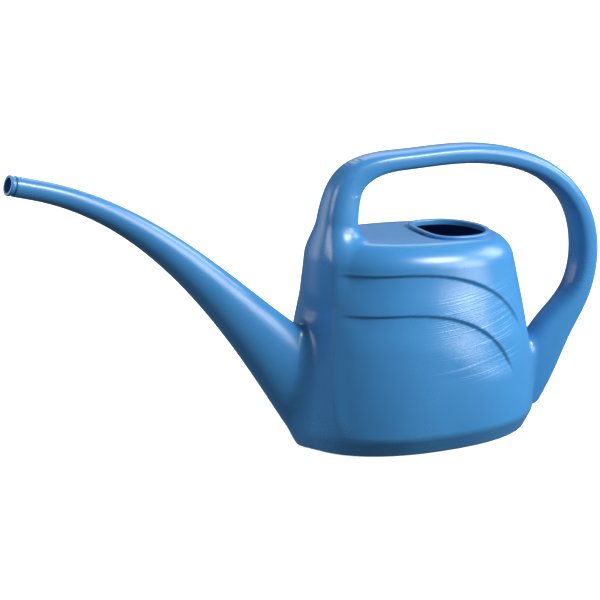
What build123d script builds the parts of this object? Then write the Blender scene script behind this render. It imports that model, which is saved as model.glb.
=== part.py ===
"""A two-litre watering can, blow moulded from polyethylene in one hollow piece.

The moulding is laid out in its natural regions, each one a solid that meets its neighbours face
to face: base, tank wall, shoulder, filler rim, spout root, spout tube, spout tip, and the handle
in four stretches.  Millimetres; +Z is up, the spout points to -X, and the origin is the centre of
the foot, on the ground.
"""
import os
from math import copysign, cos, pi, radians, sin

from build123d import *

# Tank
wall = 1.8                   # thickness of the moulded wall
tank_length = 192            # at the top of the foot chamfer, the widest ring
tank_width = 140
foot_length = 177            # where the can stands
foot_width = 121
chamfer_height = 14
floor_lift = 4               # the floor's underside above the ground
foot_ring = 9                # width of the ring that touches the ground
plan_power = 2.25            # 2 is an ellipse; more is squarer
belly_height = 58            # a ring part way up, where the wall still stands nearly upright
belly_inset = 2.6            # how far the wall has leaned in there, on every side
seam_height = 128            # where the straight wall ends and the shoulder starts
seam_inset = 15.4
deck_height = 151            # the flat top, over the origin
deck_fall = 0.055            # drop of the flat top for each millimetre towards the back
shoulder_radius = 17.5

# Filler mouth: nearly straight across at the front, round at the back
mouth_centre = 33            # its widest place, behind the origin
mouth_half_width = 26.5
mouth_front = 23             # half lengths in front of and behind the widest place
mouth_back = 26
front_power = 3.5            # squarer than an ellipse, as in plan_power
rim_width = 3
rim_height = 2.6
rim_rounding = 1.1

# Spout: an oval horn that turns into a round tube
spout_reach = 221            # from the front of the tank to the tip
tip_height = 221             # centre of the mouth above the ground
tip_slope = 12               # degrees above level
tip_bore = 5.5               # radius of the passage through the tip
tip_length = 20
lip_length = 2.4
groove_length = 2
groove_depth = 0.8
root_inset = 32              # where the horn begins, inside the front of the tank
root_height = 37
root_slope = 36              # degrees above level
root_pull = 95               # how far the curve keeps its direction at each end
tip_pull = 98
spout_break = -185           # where the root ends and the tube begins

# Handle: a flat oval tube, its front post continuing the front of the tank
post_inset = 34              # foot of the post, behind the front of the tank
grip_rise = 56               # centre of the grip above the deck
loop_reach = 54              # centre of the loop, behind the back of the tank
post_break = -38             # where the post ends and the grip begins
arch_break = 88              # where the grip ends and the rear arch begins
tail_break = 98              # height where the arch ends and the tail begins

front = -tank_length / 2
back = tank_length / 2
tip_radius = tip_bore + wall
deck_plane = Plane(origin=(0, 0, deck_height), z_dir=(deck_fall, 0, 1))


def squared(ratio, power):
    """A sine or cosine drawn out towards the corners of a squared ellipse."""
    return copysign(abs(ratio) ** (2 / power), ratio)


def ring(length, width, height):
    """Outline of the tank at one height, a squared ellipse."""
    points = []
    for step in range(32):
        turn = 2 * pi * (step + 0.5) / 32
        points.append((
            squared(cos(turn), plan_power) * length / 2,
            squared(sin(turn), plan_power) * width / 2,
        ))
    with BuildSketch(Plane.XY.offset(height)) as outline:
        with BuildLine():
            Spline(*points, periodic=True)
        make_face()
    return outline.sketch


def foot_outline(inset, height):
    """Outline of the foot chamfer at one height, drawn in by an inset."""
    grown = height / chamfer_height
    length = foot_length + (tank_length - foot_length) * grown - 2 * inset
    width = foot_width + (tank_width - foot_width) * grown - 2 * inset
    return ring(length, width, height)


def tank_body(skin):
    """The tank above the chamfer as one solid, drawn in by the skin's thickness."""
    overshoot = deck_height + 20
    lean = (seam_inset - belly_inset) / (seam_height - belly_height)
    rings = []
    for height, inset in (
        (chamfer_height, 0),
        (belly_height, belly_inset),
        (seam_height, seam_inset),
        (overshoot, seam_inset + lean * (overshoot - seam_height)),
    ):
        drawn_in = 2 * (inset + skin)
        rings.append(ring(tank_length - drawn_in, tank_width - drawn_in, height))
    with BuildPart(mode=Mode.PRIVATE) as body:
        loft(rings)
        split(bisect_by=deck_plane.offset(-skin), keep=Keep.BOTTOM)
        fillet(body.faces().sort_by(Axis.Z)[-1].edges(), shoulder_radius - skin)
    return body.part


def foot_body(skin, bottom):
    """The foot below the chamfer's top as one solid."""
    with BuildPart(mode=Mode.PRIVATE) as body:
        loft([foot_outline(skin, bottom), foot_outline(skin, chamfer_height)], ruled=True)
    return body.part


def mouth_outline(grow):
    """Outline of the filler mouth on the deck, grown outwards."""
    points = []
    for step in range(32):
        turn = 2 * pi * (step + 0.5) / 32
        half_length, power = mouth_back, 2
        if cos(turn) < 0:
            half_length, power = mouth_front, front_power
        points.append((
            mouth_centre + squared(cos(turn), power) * (half_length + grow),
            squared(sin(turn), power) * (mouth_half_width + grow),
        ))
    with BuildSketch(deck_plane) as outline:
        with BuildLine():
            Spline(*points, periodic=True)
        make_face()
    return outline.sketch


def horn(path, stations, skin):
    """Oval tube along a path; each station is a share of its length and two half sizes."""
    sections = []
    for share, half_height, half_width in stations:
        plane = Plane(origin=path @ share, x_dir=(0, 1, 0), z_dir=path % share)
        with BuildSketch(plane) as section:
            Ellipse(half_width - skin, half_height - skin)
        sections.append(section.sketch)
    with BuildPart(mode=Mode.PRIVATE) as body:
        loft(sections)
    return body.part


# Where the spout and the handle run
tip_turn = radians(tip_slope)
root_turn = radians(root_slope)
tip_direction = Vector(-cos(tip_turn), 0, sin(tip_turn))
tip_end = Vector(front - spout_reach, 0, tip_height)
tip_start = tip_end - tip_direction * tip_length
root_start = Vector(front + root_inset, 0, root_height)
root_direction = Vector(-cos(root_turn), 0, sin(root_turn))
spout_path = Edge.make_bezier(
    root_start,
    root_start + root_direction * root_pull,
    tip_start - tip_direction * tip_pull,
    tip_start,
)
spout_stations = (
    (0, 44, 17),
    (0.14, 33.5, 14.5),
    (0.25, 23, 13),
    (0.39, 15.8, 11.8),
    (0.575, 11, 10),
    (0.765, 8.4, 8.2),
    (0.9, 7.5, 7.4),
    (1, tip_radius, tip_radius),
)

grip_height = deck_height + grip_rise
handle_path = Edge.make_spline([
    Vector(front + post_inset, 0, deck_height - 33),
    Vector(front + post_inset - 0.5, 0, deck_height),
    Vector(front + post_inset + 2.5, 0, deck_height + 27),
    Vector(front + post_inset + 10, 0, grip_height - 12),
    Vector(front + post_inset + 24, 0, grip_height - 3.5),
    Vector(-4, 0, grip_height),
    Vector(45, 0, grip_height - 0.5),
    Vector(back - 11, 0, grip_height - 8),
    Vector(back + 23, 0, grip_height - 24.5),
    Vector(back + loop_reach - 8, 0, deck_height + 5),
    Vector(back + loop_reach, 0, deck_height - 26),
    Vector(back + loop_reach - 7.5, 0, 88),
    Vector(back + 27.5, 0, 63.5),
    Vector(back + 9, 0, 38),
    Vector(back - 12, 0, 10),
])
handle_stations = (
    (0, 14, 16),
    (0.07, 14.2, 17),
    (0.125, 13.2, 15),
    (0.175, 11.2, 12.4),
    (0.215, 8.8, 11.8),
    (0.3, 7.3, 11.5),
    (0.4, 7.3, 11.5),
    (0.5, 7.4, 11.8),
    (0.6, 7.7, 12.6),
    (0.7, 8.6, 13.4),
    (0.8, 9.9, 13.4),
    (0.88, 15, 13),
    (0.945, 17, 12.5),
    (1, 8, 9),
)

tank_outside = tank_body(0)
tank_inside = tank_body(wall)
foot_outside = foot_body(0, 0)
spout_outside = horn(spout_path, spout_stations, 0) - tank_outside - foot_outside
spout_passage = horn(spout_path, spout_stations, wall)
handle_outside = horn(handle_path, handle_stations, 0) - tank_outside - foot_outside
handle_hollow = horn(handle_path, handle_stations, wall)
seam_plane = Plane.XY.offset(seam_height)
spout_plane = Plane.YZ.offset(spout_break)
post_plane = Plane.YZ.offset(post_break)
arch_plane = Plane.YZ.offset(arch_break)
tail_plane = Plane.XY.offset(tail_break)
tip_plane = Plane(origin=tip_start, x_dir=(0, 1, 0), z_dir=tip_direction)

with BuildPart() as base:
    add(foot_outside)
    add(foot_body(wall, floor_lift + wall), mode=Mode.SUBTRACT)
    loft(
        [ring(foot_length - 2 * foot_ring, foot_width - 2 * foot_ring, 0),
         ring(foot_length - 3 * foot_ring, foot_width - 3 * foot_ring, floor_lift)],
        ruled=True,
        mode=Mode.SUBTRACT,
    )

with BuildPart() as tank_wall:
    add(split(tank_outside, seam_plane, Keep.BOTTOM, mode=Mode.PRIVATE))
    add(split(tank_inside, seam_plane, Keep.BOTTOM, mode=Mode.PRIVATE), mode=Mode.SUBTRACT)
    add(spout_passage, mode=Mode.SUBTRACT)

with BuildPart() as shoulder:
    add(split(tank_outside, seam_plane, Keep.TOP, mode=Mode.PRIVATE))
    add(split(tank_inside, seam_plane, Keep.TOP, mode=Mode.PRIVATE), mode=Mode.SUBTRACT)
    extrude(mouth_outline(0), amount=2 * wall, both=True, mode=Mode.SUBTRACT)

with BuildPart() as filler_rim:
    extrude(mouth_outline(rim_width), amount=rim_height)
    extrude(mouth_outline(0), amount=rim_height, mode=Mode.SUBTRACT)
    fillet(filler_rim.faces().sort_by(Axis.Z)[-1].edges(), rim_rounding)

with BuildPart() as spout_root:
    add(spout_outside)
    add(spout_passage, mode=Mode.SUBTRACT)
    split(bisect_by=spout_plane, keep=Keep.TOP)

with BuildPart() as spout_tube:
    add(spout_outside)
    add(spout_passage, mode=Mode.SUBTRACT)
    split(bisect_by=spout_plane, keep=Keep.BOTTOM)

with BuildPart() as spout_tip:
    with BuildSketch(tip_plane):
        Circle(tip_radius)
    extrude(amount=tip_length)
    with BuildSketch(tip_plane.offset(tip_length - lip_length - groove_length)):
        Circle(tip_radius)
        Circle(tip_radius - groove_depth, mode=Mode.SUBTRACT)
    extrude(amount=groove_length, mode=Mode.SUBTRACT)
    with BuildSketch(tip_plane):
        Circle(tip_bore)
    extrude(amount=tip_length, mode=Mode.SUBTRACT)

with BuildPart() as handle_post:
    add(handle_outside)
    add(handle_hollow, mode=Mode.SUBTRACT)
    split(bisect_by=post_plane, keep=Keep.BOTTOM)

with BuildPart() as handle_grip:
    add(handle_outside)
    add(handle_hollow, mode=Mode.SUBTRACT)
    split(bisect_by=post_plane, keep=Keep.TOP)
    split(bisect_by=arch_plane, keep=Keep.BOTTOM)

with BuildPart() as handle_arch:
    add(handle_outside)
    add(handle_hollow, mode=Mode.SUBTRACT)
    split(bisect_by=arch_plane, keep=Keep.TOP)
    split(bisect_by=tail_plane, keep=Keep.TOP)

with BuildPart() as handle_tail:
    add(handle_outside)
    add(handle_hollow, mode=Mode.SUBTRACT)
    split(bisect_by=tail_plane, keep=Keep.BOTTOM)

pieces = {
    "base": base,
    "tank_wall": tank_wall,
    "shoulder": shoulder,
    "filler_rim": filler_rim,
    "spout_root": spout_root,
    "spout_tube": spout_tube,
    "spout_tip": spout_tip,
    "handle_post": handle_post,
    "handle_grip": handle_grip,
    "handle_arch": handle_arch,
    "handle_tail": handle_tail,
}
os.makedirs("parts", exist_ok=True)
for name, piece in pieces.items():
    piece.part.label = name
    export_step(piece.part, f"parts/{name}.step")
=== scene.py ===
"""Looks of a two-litre watering can, blow moulded in blue polyethylene.

The can is one hollow moulding.  Its skin is worked out as one smooth surface and then cut into the
regions that the solid model has, so that the colour and gloss run on over every cut.
Lengths are metres, written as millimetres times mm.
"""
from math import cos, pi, radians, sin

import bmesh
import bpy
import numpy as np
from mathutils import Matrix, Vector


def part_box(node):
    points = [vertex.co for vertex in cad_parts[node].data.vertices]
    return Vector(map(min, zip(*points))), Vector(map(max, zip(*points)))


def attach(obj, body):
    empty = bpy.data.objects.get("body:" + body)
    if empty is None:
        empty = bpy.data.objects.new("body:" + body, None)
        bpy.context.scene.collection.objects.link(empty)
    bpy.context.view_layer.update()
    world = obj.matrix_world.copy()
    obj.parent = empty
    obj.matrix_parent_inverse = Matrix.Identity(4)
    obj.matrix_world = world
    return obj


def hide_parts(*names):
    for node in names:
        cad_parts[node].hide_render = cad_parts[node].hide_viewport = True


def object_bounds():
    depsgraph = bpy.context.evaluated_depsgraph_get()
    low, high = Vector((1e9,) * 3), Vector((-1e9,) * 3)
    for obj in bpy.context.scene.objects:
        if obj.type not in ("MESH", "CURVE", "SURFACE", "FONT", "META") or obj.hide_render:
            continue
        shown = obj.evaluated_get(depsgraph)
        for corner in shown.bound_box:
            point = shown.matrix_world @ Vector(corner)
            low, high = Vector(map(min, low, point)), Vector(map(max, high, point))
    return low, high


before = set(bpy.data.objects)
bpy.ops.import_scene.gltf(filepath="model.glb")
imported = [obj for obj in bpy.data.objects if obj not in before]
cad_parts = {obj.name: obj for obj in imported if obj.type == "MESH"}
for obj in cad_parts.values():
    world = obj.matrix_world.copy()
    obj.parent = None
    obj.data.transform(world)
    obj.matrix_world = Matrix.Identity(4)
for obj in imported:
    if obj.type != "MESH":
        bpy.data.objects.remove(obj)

import openvdb
from mathutils import Matrix, Vector

solid_low, solid_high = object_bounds()

# ---------------------------------------------------------------------------------------------
# Tank.  A squared oval pot of blown polyethylene, leaning in towards a flat deck.  Each side has
# two shallow terraces that stiffen it, and a soft edge runs up the front into the handle post.
# ---------------------------------------------------------------------------------------------
mm = 0.001
wall = 1.8 * mm
chamfer_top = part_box("tank_wall")[0].z
seam_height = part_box("tank_wall")[1].z
tank_front = -96 * mm
tank_back = 96 * mm
half_length = tank_back
half_width = 70 * mm
foot_half_length = 89.5 * mm
foot_half_width = 62 * mm
foot_ring = 9 * mm
foot_edge = 1.3 * mm
floor_lift = 4 * mm
plan_power = 2.25
deck_height = 151 * mm
deck_fall = 0.055
shoulder_radius = 16 * mm
lean_heights = (14 * mm, 58 * mm, 128 * mm, 171 * mm)
lean_insets = (0, 2.6 * mm, 15.4 * mm, 23.26 * mm)
lean = np.polyfit(lean_heights, lean_insets, 3)


def squared_ellipse(x, y, half_x, half_y, power):
    """Distance outside a squared ellipse, true near its outline."""
    half_x = np.maximum(half_x, mm)
    half_y = np.maximum(half_y, mm)
    right = np.abs(x) / half_x + 1e-9
    up = np.abs(y) / half_y + 1e-9
    size = (right ** power + up ** power) ** (1 / power)
    steep = np.hypot((right / size) ** (power - 1) / half_x, (up / size) ** (power - 1) / half_y)
    return (size - 1) / steep


def both(first, second, radius):
    """Where two shapes overlap, with the edge between them rounded."""
    corner = np.hypot(np.maximum(first + radius, 0), np.maximum(second + radius, 0))
    return np.minimum(np.maximum(first, second), -radius) + corner


def either(first, second, radius):
    """Two shapes joined, with a fillet in the corner between them."""
    corner = np.hypot(np.maximum(radius - first, 0), np.maximum(radius - second, 0))
    return np.maximum(np.minimum(first, second), radius) - corner


def ease(value, start, stop):
    """Runs smoothly from 0 at start to 1 at stop."""
    share = np.clip((value - start) / (stop - start), 0, 1)
    return share * share * (3 - 2 * share)


terraces = (
    {"centre": -35 * mm, "foot": 60 * mm, "length": 105 * mm, "height": 72 * mm, "power": 2.1,
     "ends": (74 * mm, 92 * mm)},
    {"centre": -40 * mm, "foot": 30 * mm, "length": 96 * mm, "height": 73.5 * mm, "power": 2.2,
     "ends": (48 * mm, 64 * mm)},
)
terrace_step = 1.7 * mm
terrace_round = 2.4 * mm
terrace_corner = 0.5 * mm
terrace_run = 26 * mm


def terrace_depth(x, z):
    """How far the side is sunk under its two terrace lines."""
    depth = 0
    for line in terraces:
        along = np.maximum(x - line["centre"], 0) / line["length"]
        up = np.maximum(z - line["foot"], 0) / line["height"]
        power = line["power"]
        below = (1 - (along ** power + up ** power) ** (1 / power)) * line["height"]
        lip = ease(below, -terrace_round, terrace_corner)
        slope = 1 - ease(below, terrace_corner, terrace_run)
        there = ease(x, -78 * mm, -62 * mm) * ease(z, *line["ends"])
        depth = depth + terrace_step * there * np.minimum(lip, slope)
    return depth


edge_height = 1.1 * mm
edge_half_width = 4.5 * mm
edge_foot = 17 * mm
edge_foot_place = 43 * mm
edge_lean = 19 / 112


def front_edge(x, y, z):
    """How far the soft edge stands out, between the flat front and the rounded sides."""
    place = edge_foot_place - (z - edge_foot) * edge_lean
    across = (np.abs(y) - place) / edge_half_width
    there = ease(-x, 40 * mm, 60 * mm) * ease(z, 8 * mm, 30 * mm)
    return edge_height * np.exp(-across ** 2) * there


mouth_centre = 33 * mm
mouth_half_width = 26.5 * mm
mouth_front = 23 * mm
mouth_back = 26 * mm
front_power = 3.5
rim_foot = 4.8 * mm
groove_sink = 0.7 * mm


def rim_groove(x, y):
    """How deep the deck is sunk along the outer foot of the filler rim."""
    ahead = squared_ellipse(x - mouth_centre, y, mouth_front, mouth_half_width, front_power)
    behind = squared_ellipse(x - mouth_centre, y, mouth_back, mouth_half_width, 2)
    away = np.where(x < mouth_centre, ahead, behind) - rim_foot
    return groove_sink * np.exp(-(away / (1.6 * mm)) ** 2)


def tank(x, y, z, skin=0):
    """The tank's outside, or its inside for a given skin."""
    inset = np.polyval(lean, z) + terrace_depth(x, z) - front_edge(x, y, z)
    side = squared_ellipse(x, y, half_length - inset, half_width - inset, plan_power) + skin
    deck = (z + deck_fall * x - deck_height) / np.hypot(1, deck_fall) + skin
    if skin == 0:
        deck = deck + rim_groove(x, y)
    grown = z / chamfer_top
    foot = squared_ellipse(
        x, y,
        foot_half_length + (half_length - foot_half_length) * grown,
        foot_half_width + (half_width - foot_half_width) * grown,
        plan_power,
    ) + skin
    body = both(both(side, foot, foot_edge), deck, shoulder_radius - skin)
    if skin:
        return both(body, floor_lift + skin - z, 3 * mm)
    hollow = squared_ellipse(
        x, y, foot_half_length - foot_ring - z, foot_half_width - foot_ring - z, plan_power)
    hollow = both(hollow, z - floor_lift, 1.5 * mm)
    return both(both(body, -z, 1.5 * mm), -hollow, 1 * mm)


class Value:
    """A shader socket that can stand in a sum."""

    def __init__(self, finish, socket):
        self.finish = finish
        self.socket = socket

    def maths(self, operation, first, second=0):
        made = self.finish.node("ShaderNodeMath", {"operation": operation}, {0: first, 1: second})
        return Value(self.finish, made.outputs[0])

    def __add__(self, other):
        return self.maths("ADD", self, other)

    def __sub__(self, other):
        return self.maths("SUBTRACT", self, other)

    def __rsub__(self, other):
        return self.maths("SUBTRACT", other, self)

    def __mul__(self, other):
        return self.maths("MULTIPLY", self, other)

    def __truediv__(self, other):
        return self.maths("DIVIDE", self, other)

    def __abs__(self):
        return self.maths("ABSOLUTE", self)

    __radd__ = __add__
    __rmul__ = __mul__

    def ramp(self, start, stop):
        """Runs smoothly from 0 at start to 1 at stop."""
        made = self.finish.node(
            "ShaderNodeMapRange", {"interpolation_type": "SMOOTHSTEP"},
            {"Value": self, "From Min": start, "From Max": stop})
        return Value(self.finish, made.outputs[0])


class Finish:
    """A material and the nodes that make it."""

    def __init__(self, name):
        self.material = bpy.data.materials.new(name)
        self.material.use_nodes = True
        self.tree = self.material.node_tree
        self.shader = self.tree.nodes["Principled BSDF"]
        coordinates = self.node("ShaderNodeTexCoord")
        self.place = coordinates.outputs["Object"]
        split = self.node("ShaderNodeSeparateXYZ", {}, {0: self.place})
        self.x, self.y, self.z = (Value(self, socket) for socket in split.outputs)

    def node(self, kind, settings=None, inputs=None):
        """Adds a node, with its settings first and then its values or links."""
        made = self.tree.nodes.new(kind)
        for name, setting in (settings or {}).items():
            setattr(made, name, setting)
        for name, value in (inputs or {}).items():
            self.feed(made.inputs[name], value)
        return made

    def feed(self, socket, value):
        value = getattr(value, "socket", value)
        if isinstance(value, bpy.types.NodeSocket):
            self.tree.links.new(value, socket)
        else:
            socket.default_value = value

    def noise(self, scale, detail=2, stretch=(1, 1, 1)):
        """Soft random spots, so many to the metre."""
        placed = self.node("ShaderNodeMapping", {}, {"Vector": self.place, "Scale": stretch})
        made = self.node(
            "ShaderNodeTexNoise", {},
            {"Vector": placed.outputs[0], "Scale": scale, "Detail": detail})
        return Value(self, made.outputs[0])

    def blend(self, share, first, second):
        """A colour between two others."""
        made = self.node("ShaderNodeMix", {"data_type": "RGBA"}, {0: share, 6: first, 7: second})
        return made.outputs[2]


plastic = Finish("blue_polyethylene")
tone = plastic.noise(14, 3)
specks = plastic.noise(900, 2)
swell = plastic.noise(38, 1)
blue = (0.050, 0.240, 0.530, 1)
deep_blue = (0.043, 0.220, 0.500, 1)
# Lighter blue for worn places, also used as a painted highlight on the cutter marks
rubbed_and_sheen_blue = (0.130, 0.400, 0.720, 1)
parting = 1 - abs(plastic.y).ramp(0.15 * mm, 0.6 * mm)

# Cutter marks of the mould, long shallow arcs that rise towards the back of each side. Their bumps
# and roughness are real, and their lighter blue is a painted highlight: the glint they catch on
# the side panels.
arc_run = plastic.x + 25 * mm
arc_rise = plastic.z - arc_run * arc_run
arc_place = plastic.node(
    "ShaderNodeCombineXYZ", {}, {0: plastic.x * 14, 1: arc_rise * 900, 2: plastic.y * 8})
arc_noise = plastic.node(
    "ShaderNodeTexNoise", {}, {"Vector": arc_place.outputs[0], "Scale": 1, "Detail": 1.5})
arcs = Value(plastic, arc_noise.outputs[0]).ramp(0.50, 0.68)
arc_zone = (
    plastic.x.ramp(-28 * mm, 12 * mm) * (1 - plastic.x.ramp(48 * mm, 66 * mm))
    * plastic.z.ramp(46 * mm, 66 * mm) * (1 - plastic.z.ramp(108 * mm, 126 * mm))
)
cutter_marks_and_sheen = arcs * arc_zone
scuffs = plastic.noise(160, 3, (1, 1, 6)).ramp(0.60, 0.75) * plastic.noise(9, 1).ramp(0.5, 0.65)

colour = plastic.blend(tone.ramp(0.35, 0.65), blue, deep_blue)
# Lighter blue: real wear on scuffs and the parting line, and a painted highlight along the cutter
# marks
colour = plastic.blend(cutter_marks_and_sheen * 0.55 + scuffs * 0.10 + parting * 0.15, colour, rubbed_and_sheen_blue)
plastic.feed(plastic.shader.inputs["Base Color"], colour)
plastic.feed(plastic.shader.inputs["Roughness"],
             0.23 + tone * 0.08 + specks * 0.03 + scuffs * 0.08 - cutter_marks_and_sheen * 0.04)
plastic.shader.inputs["IOR"].default_value = 1.51
height = specks * 0.004 + swell * 0.35 + parting * 0.10 + cutter_marks_and_sheen * 0.16
raised = plastic.node(
    "ShaderNodeBump", {}, {"Strength": 0.6, "Distance": mm, "Height": height})
plastic.feed(plastic.shader.inputs["Normal"], raised.outputs[0])


# ---------------------------------------------------------------------------------------------
# Spout.  A deep oval horn that leaves the front of the tank near the foot and narrows to a round
# tube.  It is blown with the tank, and the corner where they meet is a soft fillet.
# ---------------------------------------------------------------------------------------------
class Route:
    """A curve in the can's mid-plane, with the sizes of the tube that follows it."""

    spacing = 0.5 * mm
    cell = 1 * mm
    margin = 60 * mm

    def __init__(self, points, stations, power=2, spare=0):
        self.power = power
        steps = np.hypot(*np.diff(points, axis=0).T)
        places = np.concatenate([[0], np.cumsum(steps)])
        self.length = places[-1]
        self.along = np.linspace(0, self.length, int(self.length / self.spacing))
        self.points = np.column_stack([np.interp(self.along, places, p) for p in points.T])
        heading = np.gradient(self.points, self.along, axis=0)
        self.heading = heading / np.hypot(*heading.T)[:, None]
        shares, half_heights, half_widths = np.array(stations).T
        share = np.minimum(self.along / (self.length - spare), 1)
        self.half_height = smooth_through(shares, half_heights * mm, share)
        self.half_width = smooth_through(shares, half_widths * mm, share)
        self.low = self.points.min(0) - self.margin
        size = np.ptp(self.points, axis=0) + 2 * self.margin
        columns, rows = (size / self.cell).astype(int) + 1
        spots = np.stack(np.meshgrid(np.arange(columns), np.arange(rows), indexing="ij"), -1)
        spots = spots.reshape(-1, 2) * self.cell + self.low
        nearest = [
            ((part[:, None] - self.points[None]) ** 2).sum(-1).argmin(1)
            for part in np.array_split(spots, 60)
        ]
        self.nearest = np.concatenate(nearest).reshape(columns, rows)

    def locate(self, x, z):
        """Place along the route, and height above it, of points in the mid-plane."""
        column = np.clip(((x - self.low[0]) / self.cell).round().astype(int),
                         0, self.nearest.shape[0] - 1)
        row = np.clip(((z - self.low[1]) / self.cell).round().astype(int),
                      0, self.nearest.shape[1] - 1)
        index = self.nearest[column, row]
        ahead = self.heading[index, 0]
        up = self.heading[index, 1]
        off_x = x - self.points[index, 0]
        off_z = z - self.points[index, 1]
        forward = off_x * ahead + off_z * up
        return index, self.along[index] + forward, off_z * ahead - off_x * up

    def tube(self, x, y, z, skin=0):
        """Distance outside the oval tube that follows the route."""
        index, along, above = self.locate(x, z)
        place = np.clip(along, 0, self.length)
        tall = np.interp(place, self.along, self.half_height) - skin
        wide = np.interp(place, self.along, self.half_width) - skin
        section = squared_ellipse(above, y, tall, wide, self.power)
        return both(section, np.maximum(-along, along - self.length), 1 * mm)


def smooth_through(knots, values, places):
    """Natural cubic spline through values at knots, read off at places."""
    knots = np.asarray(knots, float)
    values = np.asarray(values, float)
    gaps = np.diff(knots)
    slopes = np.diff(values) / gaps
    count = len(knots)
    matrix = np.eye(count)
    right = np.zeros(count)
    for i in range(1, count - 1):
        matrix[i, i - 1:i + 2] = gaps[i - 1], 2 * (gaps[i - 1] + gaps[i]), gaps[i]
        right[i] = 6 * (slopes[i] - slopes[i - 1])
    bend = np.linalg.solve(matrix, right)
    i = np.clip(np.searchsorted(knots, places) - 1, 0, count - 2)
    after = places - knots[i]
    before = knots[i + 1] - places
    return (
        (bend[i] * before ** 3 + bend[i + 1] * after ** 3) / (6 * gaps[i])
        + (values[i] / gaps[i] - bend[i] * gaps[i] / 6) * before
        + (values[i + 1] / gaps[i] - bend[i + 1] * gaps[i] / 6) * after
    )


tip_length = 20 * mm
tip_radius = 7.3 * mm
tip_turn = radians(15.5)
root_turn = radians(35)
tip_direction = np.array((-cos(tip_turn), sin(tip_turn)))
root_direction = np.array((-cos(root_turn), sin(root_turn)))
tip_end = np.array((tank_front - 221 * mm, 220.7 * mm))
tip_start = tip_end - tip_direction * tip_length
root_start = np.array((tank_front + 32 * mm, 30 * mm))
pulls = np.array((
    root_start,
    root_start + root_direction * 68 * mm,
    tip_start - tip_direction * 118 * mm,
    tip_start,
))
share = np.linspace(0, 1, 400)[:, None]
bezier = (
    pulls[0] * (1 - share) ** 3 + 3 * pulls[1] * share * (1 - share) ** 2
    + 3 * pulls[2] * share ** 2 * (1 - share) + pulls[3] * share ** 3
)
spout_spare = 8 * mm
bezier = np.vstack([bezier, tip_start + tip_direction * spout_spare])
spout = Route(bezier, (
    (0, 40.8, 17),
    (0.14, 29.4, 14.5),
    (0.25, 23.3, 13),
    (0.39, 17.9, 11.8),
    (0.575, 12.8, 10),
    (0.765, 9.2, 8.2),
    (0.9, 7.8, 7.4),
    (1, 7.3, 7.3),
), 2, spout_spare)
spout_fillet = 10 * mm

# ---------------------------------------------------------------------------------------------
# Handle.  A flat oval tube from the same moulding: a post that carries the front of the tank
# upwards, a level grip over the deck, and an arch that comes down behind almost to the ground.
# ---------------------------------------------------------------------------------------------
grip_height = deck_height + 56 * mm
loop_back = tank_back + 54 * mm
handle_points = np.array((
    (tank_front + 34 * mm, deck_height - 33 * mm),
    (tank_front + 33.5 * mm, deck_height),
    (tank_front + 36.5 * mm, deck_height + 27 * mm),
    (tank_front + 44 * mm, grip_height - 12 * mm),
    (tank_front + 58 * mm, grip_height - 3.5 * mm),
    (-4 * mm, grip_height),
    (45 * mm, grip_height - 0.5 * mm),
    (tank_back - 11 * mm, grip_height - 8 * mm),
    (tank_back + 23 * mm, grip_height - 24.5 * mm),
    (loop_back - 8 * mm, deck_height + 5 * mm),
    (loop_back, deck_height - 26 * mm),
    (loop_back - 7.5 * mm, 88 * mm),
    (tank_back + 28.5 * mm, 63.5 * mm),
    (tank_back + 12 * mm, 38 * mm),
    (tank_back - 4.5 * mm, 9 * mm),
))
runs = np.concatenate([[0], np.cumsum(np.hypot(*np.diff(handle_points, axis=0).T))])
places = np.linspace(0, runs[-1], 800)
handle = Route(
    np.column_stack([smooth_through(runs, p, places) for p in handle_points.T]),
    (
        (0, 14, 16),
        (0.07, 14.2, 17),
        (0.125, 13.2, 15),
        (0.175, 11.2, 12.4),
        (0.215, 8.8, 11.8),
        (0.3, 7.3, 11.5),
        (0.4, 7.3, 11.5),
        (0.5, 7.4, 11.8),
        (0.6, 7.7, 12.6),
        (0.7, 8.6, 13.4),
        (0.8, 9.9, 13.4),
        (0.88, 15.5, 13),
        (0.945, 18, 12.5),
        (1, 17, 11),
    ),
    2.7,
)
# Fillets between handle and tank: before and behind the post, then above and below the tail
post_fillets = (19 * mm, 10 * mm)
tail_fillets = (13 * mm, 9 * mm)
tail_foot = 5 * mm


# ---------------------------------------------------------------------------------------------
# Moulding.  Tank, spout and handle leave the mould as one skin.  It is cut here into the regions
# of the solid model: base, tank wall, shoulder, two stretches of spout and four of handle.
# ---------------------------------------------------------------------------------------------
def outside(x, y, z):
    """Distance outside the whole moulding."""
    before, behind = post_fillets
    above, below = tail_fillets
    post = before + (behind - before) * ease(x, -78 * mm, -52 * mm)
    tail = below + (above - below) * ease(z, 30 * mm, 55 * mm)
    fillet = post + (tail - post) * ease(x, 0, 60 * mm)
    body = either(tank(x, y, z), spout.tube(x, y, z), spout_fillet)
    loop = both(handle.tube(x, y, z), tail_foot - z, 4 * mm)
    body = either(body, loop, fillet)
    return np.maximum(body, -z)


def inside(x, y, z):
    """Distance outside the water space."""
    return either(tank(x, y, z, wall), spout.tube(x, y, z, wall), spout_fillet - wall)


def slope_of(shape, points):
    """Which way a shape's distance grows, by small steps to each side."""
    step = 0.05 * mm
    slope = np.empty_like(points)
    for axis in range(3):
        ahead, behind = points.copy(), points.copy()
        ahead[:, axis] += step
        behind[:, axis] -= step
        slope[:, axis] = (shape(*ahead.T) - shape(*behind.T)) / (2 * step)
    return slope


def settle(shape, points, rounds):
    """Points moved onto a shape's surface."""
    for _ in range(rounds):
        slope = slope_of(shape, points)
        scale = shape(*points.T) / np.maximum((slope ** 2).sum(1), 0.25)
        points = points - np.clip(scale, -mm, mm)[:, None] * slope
    return points


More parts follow.
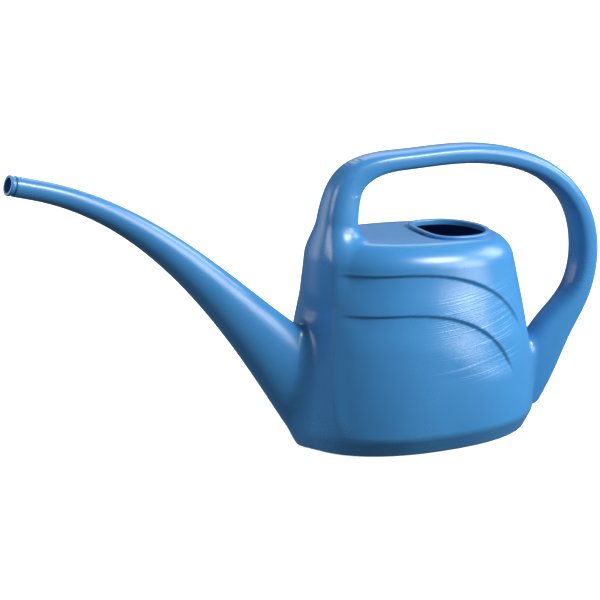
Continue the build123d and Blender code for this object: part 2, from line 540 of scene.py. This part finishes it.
def wrap(shape, low, high, step, finer):
    """Quads over a shape's surface, each cut in four where it is asked for finer."""
    counts = ((high - low) / step).astype(int) + 1
    axes = [low[i] + step * np.arange(counts[i]) for i in range(3)]
    grid = openvdb.FloatGrid()
    grid.copyFromArray(shape(*np.meshgrid(*axes, indexing="ij")).astype(np.float32))
    points, quads = grid.convertToQuads(isovalue=0)
    points = settle(shape, points.astype(float) * step + low, 2)
    quads = quads.astype(int)
    if finer:
        sides = np.sort(np.stack([quads, np.roll(quads, -1, 1)], 2).reshape(-1, 2), 1)
        pairs, index = np.unique(sides, axis=0, return_inverse=True)
        index = index.reshape(-1, 4) + len(points)
        middles = np.arange(len(quads)) + len(points) + len(pairs)
        points = np.concatenate([points, points[pairs].mean(1), points[quads].mean(1)])
        quads = np.concatenate([
            np.column_stack([quads[:, i], index[:, i], middles, index[:, i - 1]])
            for i in range(4)
        ])
    sides = np.sort(np.stack([quads, np.roll(quads, -1, 1)], 2).reshape(-1, 2), 1)
    sides = np.unique(sides, axis=0)
    count = np.bincount(sides.ravel(), minlength=len(points))[:, None]
    for _ in range(3):
        total = np.zeros_like(points)
        np.add.at(total, sides[:, 0], points[sides[:, 1]])
        np.add.at(total, sides[:, 1], points[sides[:, 0]])
        points = settle(shape, points + 0.5 * (total / count - points), 1)
    return settle(shape, points, 2), quads


def mesh_object(name, points, faces):
    """An object made from points and faces."""
    mesh = bpy.data.meshes.new(name)
    mesh.from_pydata(np.asarray(points).tolist(), [], np.asarray(faces).tolist())
    piece = bpy.data.objects.new(name, mesh)
    bpy.context.scene.collection.objects.link(piece)
    volume = bmesh.new()
    volume.from_mesh(mesh)
    if volume.calc_volume(signed=True) < 0:
        bmesh.ops.reverse_faces(volume, faces=volume.faces)
        volume.to_mesh(mesh)
    volume.free()
    return piece


def carve(name, body, tool, operation):
    """A new object: the body with the tool cut off it, or only what both share."""
    cut = body.modifiers.new("cut", "BOOLEAN")
    cut.object = tool
    cut.operation = operation
    cut.solver = "MANIFOLD"
    view = bpy.context.evaluated_depsgraph_get()
    mesh = bpy.data.meshes.new_from_object(body.evaluated_get(view))
    body.modifiers.remove(cut)
    piece = bpy.data.objects.new(name, mesh)
    bpy.context.scene.collection.objects.link(piece)
    return piece


smallest_shell = 100


def without_crumbs(piece):
    """The same piece, less what cutting leaves: faces lying back to back, and loose specks."""
    mesh = piece.data
    mesh.calc_loop_triangles()
    points = np.empty(len(mesh.vertices) * 3, np.float32)
    mesh.vertices.foreach_get("co", points)
    faces = np.empty(len(mesh.loop_triangles) * 3, np.int32)
    mesh.loop_triangles.foreach_get("vertices", faces)
    points, place = np.unique(points.reshape(-1, 3), axis=0, return_inverse=True)
    faces = place.ravel()[faces].reshape(-1, 3)
    ordered = np.sort(faces, 1)
    _, which, times = np.unique(ordered, axis=0, return_inverse=True, return_counts=True)
    collapsed = (ordered[:, 0] == ordered[:, 1]) | (ordered[:, 1] == ordered[:, 2])
    faces = faces[(times[which.ravel()] == 1) & ~collapsed]
    shell = np.arange(len(points))
    while True:
        lowest = shell.copy()
        for i in range(3):
            np.minimum.at(lowest, faces[:, i], shell[faces].min(1))
        lowest = lowest[lowest]
        if (lowest == shell).all():
            break
        shell = lowest
    sizes = np.bincount(shell[faces[:, 0]], minlength=len(points))
    faces = faces[sizes[shell[faces[:, 0]]] >= smallest_shell]
    used, faces = np.unique(faces, return_inverse=True)
    points, faces = points[used], faces.reshape(-1, 3)
    name = piece.name
    bpy.data.objects.remove(piece)
    return mesh_object(name, points, faces)


def block(name, low, high):
    """A plain block that cuts along its sides."""
    corners = [(x, y, z) for x in (low[0], high[0]) for y in (low[1], high[1])
               for z in (low[2], high[2])]
    faces = [(0, 1, 3, 2), (4, 6, 7, 5), (0, 4, 5, 1), (2, 3, 7, 6), (0, 2, 6, 4), (1, 5, 7, 3)]
    return mesh_object(name, corners, faces)


skin_step = 1.1 * mm
space_low = np.array(solid_low) - 6 * mm
space_high = np.array(solid_high) + 6 * mm
outer = mesh_object("outer", *wrap(outside, space_low, space_high, 2 * skin_step, True))
cavity = mesh_object("cavity", *wrap(inside, space_low, space_high, 2 * skin_step, False))


def mouth_point(turn, grow):
    """A point of the filler mouth's outline on the deck, grown outwards."""
    half, power = (mouth_back, 2) if cos(turn) >= 0 else (mouth_front, front_power)
    x = mouth_centre + np.copysign(abs(cos(turn)) ** (2 / power), cos(turn)) * (half + grow)
    y = np.copysign(abs(sin(turn)) ** (2 / power), sin(turn)) * (mouth_half_width + grow)
    return x, y


def loop_prism(name, outline, low, high):
    """A prism over a closed outline of the deck, from one height to another above the deck."""
    count = len(outline)
    points = [
        (x, y, deck_height - deck_fall * x + rise) for rise in (low, high) for x, y in outline
    ]
    sides = [(i, (i + 1) % count, (i + 1) % count + count, i + count) for i in range(count)]
    mesh = bmesh.new()
    corners = [mesh.verts.new(point) for point in points]
    for face in sides + [range(count)[::-1], range(count, 2 * count)]:
        mesh.faces.new([corners[i] for i in face])
    bmesh.ops.recalc_face_normals(mesh, faces=mesh.faces)
    made = bpy.data.meshes.new(name)
    mesh.to_mesh(made)
    mesh.free()
    piece = bpy.data.objects.new(name, made)
    bpy.context.scene.collection.objects.link(piece)
    return piece


outline_count = 160
turns = [2 * pi * (i + 0.5) / outline_count for i in range(outline_count)]
plug = loop_prism("plug", [mouth_point(turn, 0) for turn in turns], -9 * mm, 9 * mm)
skin_depth = 4.4 * mm
core = mesh_object("core", *wrap(
    lambda x, y, z: tank(x, y, z, -skin_depth), space_low - 10 * mm, space_high, 5 * mm, False))
hollowed = carve("hollowed", outer, cavity, "DIFFERENCE")
moulding = carve("moulding", hollowed, plug, "DIFFERENCE")
pot = carve("pot", moulding, core, "INTERSECT")
far = 0.5
tip_knife = block("tip_knife", (-far, -far, -far), (0, far, far))
tip_knife.data.transform(Matrix.Rotation(tip_turn, 4, "Y"))
tip_knife.data.transform(Matrix.Translation((tip_start[0], 0, tip_start[1])))
reaching = carve("reaching", moulding, core, "DIFFERENCE")
limbs = carve("limbs", reaching, tip_knife, "DIFFERENCE")

spout_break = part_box("spout_root")[0].x
post_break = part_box("handle_grip")[0].x
arch_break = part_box("handle_grip")[1].x
tail_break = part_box("handle_tail")[1].z
limb_break = -86 * mm
cuts = {
    "base": (pot, (-far, -far, -far), (far, far, chamfer_top)),
    "tank_wall": (pot, (-far, -far, chamfer_top), (far, far, seam_height)),
    "shoulder": (pot, (-far, -far, seam_height), (far, far, far)),
    "spout_root": (limbs, (spout_break, -far, -far), (limb_break, far, far)),
    "spout_tube": (limbs, (-far, -far, -far), (spout_break, far, far)),
    "handle_post": (limbs, (limb_break, -far, seam_height - 40 * mm), (post_break, far, far)),
    "handle_grip": (limbs, (post_break, -far, -far), (arch_break, far, far)),
    "handle_arch": (limbs, (arch_break, -far, tail_break), (far, far, far)),
    "handle_tail": (limbs, (60 * mm, -far, -far), (far, far, tail_break)),
}
regions = {}
for node, (source, low, high) in cuts.items():
    knife = block("knife", low, high)
    regions[node] = without_crumbs(carve(node + "_skin", source, knife, "INTERSECT"))
    bpy.data.objects.remove(knife)


def follow_shape(piece, shapes):
    """Shades a piece by the slope of the shapes it was cut from, and its cuts as flat."""
    mesh = piece.data
    points = np.empty(len(mesh.vertices) * 3)
    mesh.vertices.foreach_get("co", points)
    points = points.reshape(-1, 3)
    corners = np.empty(len(mesh.loops), int)
    mesh.loops.foreach_get("vertex_index", corners)
    normals = np.empty(len(mesh.polygons) * 3)
    mesh.polygons.foreach_get("normal", normals)
    totals = np.empty(len(mesh.polygons), int)
    mesh.polygons.foreach_get("loop_total", totals)
    flat = np.repeat(normals.reshape(-1, 3), totals, axis=0)
    for shape, sign in shapes:
        near = np.abs(shape(*points.T)) < 0.2 * mm
        slope = np.zeros_like(points)
        slope[near] = slope_of(shape, points[near])
        slope *= sign / np.maximum(np.linalg.norm(slope, axis=1), 1e-6)[:, None]
        smooth = near[corners] & ((slope[corners] * flat).sum(1) > 0.75)
        flat[smooth] = slope[corners[smooth]]
    mesh.shade_smooth()
    mesh.normals_split_custom_set(flat.tolist())


for node, piece in regions.items():
    follow_shape(piece, ((outside, 1), (inside, -1)))
for helper in (outer, cavity, plug, core, hollowed, moulding, pot, tip_knife, reaching, limbs):
    bpy.data.objects.remove(helper)


def finished(piece, node, finish):
    """Gives a piece its material and its place in the model."""
    piece.data.materials.clear()
    piece.data.materials.append(finish.material)
    piece.name = node + "_skin"
    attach(piece, "root")
    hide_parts(node)


for node, piece in regions.items():
    finished(piece, node, plastic)

# ---------------------------------------------------------------------------------------------
# Filler rim.  The lip around the mouth, turned up where the mould closed on the soft plastic.
# It follows the mouth's outline, with a rounded top and a foot that spreads over the deck.
# ---------------------------------------------------------------------------------------------
def rim_tree():
    """A lip of a given width and height, swept along an outline."""
    tree = bpy.data.node_groups.new("rim", "GeometryNodeTree")
    sockets = (
        ("Outline", "NodeSocketGeometry", None),
        ("Lip Width", "NodeSocketFloat", 2.7 * mm),
        ("Lip Height", "NodeSocketFloat", 2.6 * mm),
        ("Foot Width", "NodeSocketFloat", 4.6 * mm),
        ("Skirt", "NodeSocketFloat", 1.9 * mm),
        ("Rounding", "NodeSocketFloat", 1.1 * mm),
        ("Finish", "NodeSocketMaterial", None),
    )
    for name, kind, default in sockets:
        socket = tree.interface.new_socket(name, in_out="INPUT", socket_type=kind)
        if default is not None:
            socket.default_value = default
    tree.interface.new_socket("Rim", in_out="OUTPUT", socket_type="NodeSocketGeometry")
    add, link = tree.nodes.new, tree.links.new
    given = add("NodeGroupInput").outputs
    drop = add("ShaderNodeMath")
    drop.operation = "MULTIPLY"
    drop.inputs[1].default_value = -1
    link(given["Skirt"], drop.inputs[0])
    profile = add("GeometryNodeCurvePrimitiveQuadrilateral")
    profile.mode = "POINTS"
    corners = (
        (None, drop.outputs[0]),
        (None, given["Lip Height"]),
        (given["Lip Width"], given["Lip Height"]),
        (given["Foot Width"], drop.outputs[0]),
    )
    for number, (out, up) in enumerate(corners):
        corner = add("ShaderNodeCombineXYZ")
        if out:
            link(out, corner.inputs["X"])
        link(up, corner.inputs["Y"])
        link(corner.outputs[0], profile.inputs[f"Point {number + 1}"])
    soften = add("GeometryNodeFilletCurve")
    soften.mode = "POLY"
    soften.inputs["Count"].default_value = 6
    link(profile.outputs[0], soften.inputs["Curve"])
    link(given["Rounding"], soften.inputs["Radius"])
    sweep = add("GeometryNodeCurveToMesh")
    link(given["Outline"], sweep.inputs["Curve"])
    link(soften.outputs[0], sweep.inputs["Profile Curve"])
    whole = add("GeometryNodeRealizeInstances")
    link(sweep.outputs[0], whole.inputs[0])
    paint = add("GeometryNodeSetMaterial")
    link(whole.outputs[0], paint.inputs["Geometry"])
    link(given["Finish"], paint.inputs["Material"])
    link(paint.outputs[0], add("NodeGroupOutput").inputs[0])
    return tree


outline = bpy.data.curves.new("mouth_outline", "CURVE")
outline.dimensions = "3D"
spline = outline.splines.new("POLY")
spline.points.add(len(turns) - 1)
spline.use_cyclic_u = True
for point, turn in zip(spline.points, turns):
    x, y = mouth_point(turn, 0)
    point.co = (x, y, deck_height - deck_fall * x, 1)
rim_path = bpy.data.objects.new("rim_path", outline)
bpy.context.scene.collection.objects.link(rim_path)
sweep = rim_path.modifiers.new("rim", "NODES")
sweep.node_group = rim_tree()
for socket in sweep.node_group.interface.items_tree:
    if socket.name == "Finish":
        sweep[socket.identifier] = plastic.material
view = bpy.context.evaluated_depsgraph_get()
rim_mesh = bpy.data.meshes.new_from_object(rim_path.evaluated_get(view))
rim_mesh.flip_normals()  # the profile runs round the other way, so the sweep faces inwards
rim = bpy.data.objects.new("filler_rim_lip", rim_mesh)
bpy.context.scene.collection.objects.link(rim)
bpy.data.objects.remove(rim_path)
rim_mesh.shade_smooth()
rim_mesh.set_sharp_from_angle(angle=radians(50))
finished(rim, "filler_rim", plastic)

# ---------------------------------------------------------------------------------------------
# Spout tip.  The cut end of the spout: a lip and a narrow groove that hold a push-on rose.
# It is trimmed by a blade after moulding, so its end is flat with a clean bright edge.
# ---------------------------------------------------------------------------------------------
tip_bore = tip_radius - wall
lip_length = 2.4 * mm
groove_length = 2 * mm
groove_depth = 0.8 * mm
groove_start = tip_length - lip_length - groove_length
soft = 0.35 * mm
tip_profile = (
    (0, tip_radius),
    (groove_start - soft, tip_radius),
    (groove_start, tip_radius - soft),
    (groove_start + 0.3 * mm, tip_radius - groove_depth + 0.1 * mm),
    (groove_start + 0.6 * mm, tip_radius - groove_depth),
    (groove_start + groove_length - 0.5 * mm, tip_radius - groove_depth),
    (groove_start + groove_length - 0.2 * mm, tip_radius - groove_depth + 0.15 * mm),
    (groove_start + groove_length, tip_radius - soft),
    (groove_start + groove_length + soft, tip_radius),
    (tip_length - soft, tip_radius),
    (tip_length - 0.1 * mm, tip_radius - 0.1 * mm),
    (tip_length, tip_radius - soft),
    (tip_length, tip_bore + 0.2 * mm),
    (tip_length - 0.2 * mm, tip_bore),
    (0, tip_bore),
)
around = 72
tip_points = [
    (along, radius * cos(2 * pi * i / around), radius * sin(2 * pi * i / around))
    for along, radius in tip_profile for i in range(around)
]
rows = len(tip_profile)
tip_faces = [
    (row * around + i, row * around + (i + 1) % around,
     (row + 1) % rows * around + (i + 1) % around, (row + 1) % rows * around + i)
    for row in range(rows) for i in range(around)
]
tip = mesh_object("spout_tip_end", tip_points, tip_faces)
tip.data.transform(Matrix.Rotation(pi + tip_turn, 4, "Y"))
tip.data.transform(Matrix.Translation((tip_start[0], 0, tip_start[1])))
tip.data.shade_smooth()
tip.data.set_sharp_from_angle(angle=radians(40))
finished(tip, "spout_tip", plastic)

# ---------------------------------------------------------------------------------------------
# Floor, light and camera.  A white floor that glows a little and shows in nothing else, and six
# soft square lights: the strongest above and to the right, the weaker ones round the rest.
# ---------------------------------------------------------------------------------------------
paper = Finish("white_paper")
paper.shader.inputs["Roughness"].default_value = 0.9
paper.feed(paper.shader.inputs["Base Color"], paper.blend(
    paper.noise(3, 2), (0.86, 0.86, 0.86, 1), (0.90, 0.90, 0.90, 1)))
paper.shader.inputs["Emission Color"].default_value = (1, 1, 1, 1)
paper.shader.inputs["Emission Strength"].default_value = 0.75
floor = mesh_object("floor", [(-9, -9, 0), (9, -9, 0), (9, 9, 0), (-9, 9, 0)], [(0, 1, 2, 3)])
floor.data.materials.append(paper.material)
floor.visible_diffuse = False
floor.visible_glossy = False

world = bpy.data.worlds.new("studio")
bpy.context.scene.world = world
world.use_nodes = True
world.node_tree.nodes["Background"].inputs["Color"].default_value = (1, 1, 1, 1)
world.node_tree.nodes["Background"].inputs["Strength"].default_value = 0.12
bpy.context.scene.view_settings.view_transform = "Standard"

middle = Vector((-50 * mm, 0, 100 * mm))
camera_turn = radians(-117)


def soft_light(name, turn, rise, size, power, colour=(1, 1, 1)):
    """A square light two metres off, turned round from the camera and raised, in degrees."""
    light = bpy.data.lights.new(name, "AREA")
    light.size = size
    light.energy = power
    light.color = colour
    turn, rise = camera_turn + radians(turn), radians(rise)
    way = Vector((cos(turn) * cos(rise), sin(turn) * cos(rise), sin(rise)))
    lamp = bpy.data.objects.new(name, light)
    lamp.location = middle + way * 2
    lamp.rotation_euler = (-way).to_track_quat("-Z", "Y").to_euler()
    bpy.context.scene.collection.objects.link(lamp)


soft_light("key", 68, 42, 0.5, 32)
soft_light("side", 74, 16, 0.9, 26)
soft_light("back", 112, 28, 0.8, 18)
soft_light("front", -66, 24, 0.9, 18, (0.92, 0.90, 1.0))
soft_light("low_front", -112, 8, 0.9, 5)
soft_light("rear", 178, 40, 1.2, 10)

camera_data = bpy.data.cameras.new("camera")
camera_data.lens = 181.3
camera_data.sensor_width = 36
camera = bpy.data.objects.new("camera", camera_data)
target = Vector((-0.0919, 0, 0.1108))
reach = 2.2
camera.location = target + reach * Vector((-0.4375, -0.8586, 0.2672))
camera.rotation_euler = (target - camera.location).to_track_quat("-Z", "Y").to_euler()
bpy.context.scene.collection.objects.link(camera)
bpy.context.scene.camera = camera
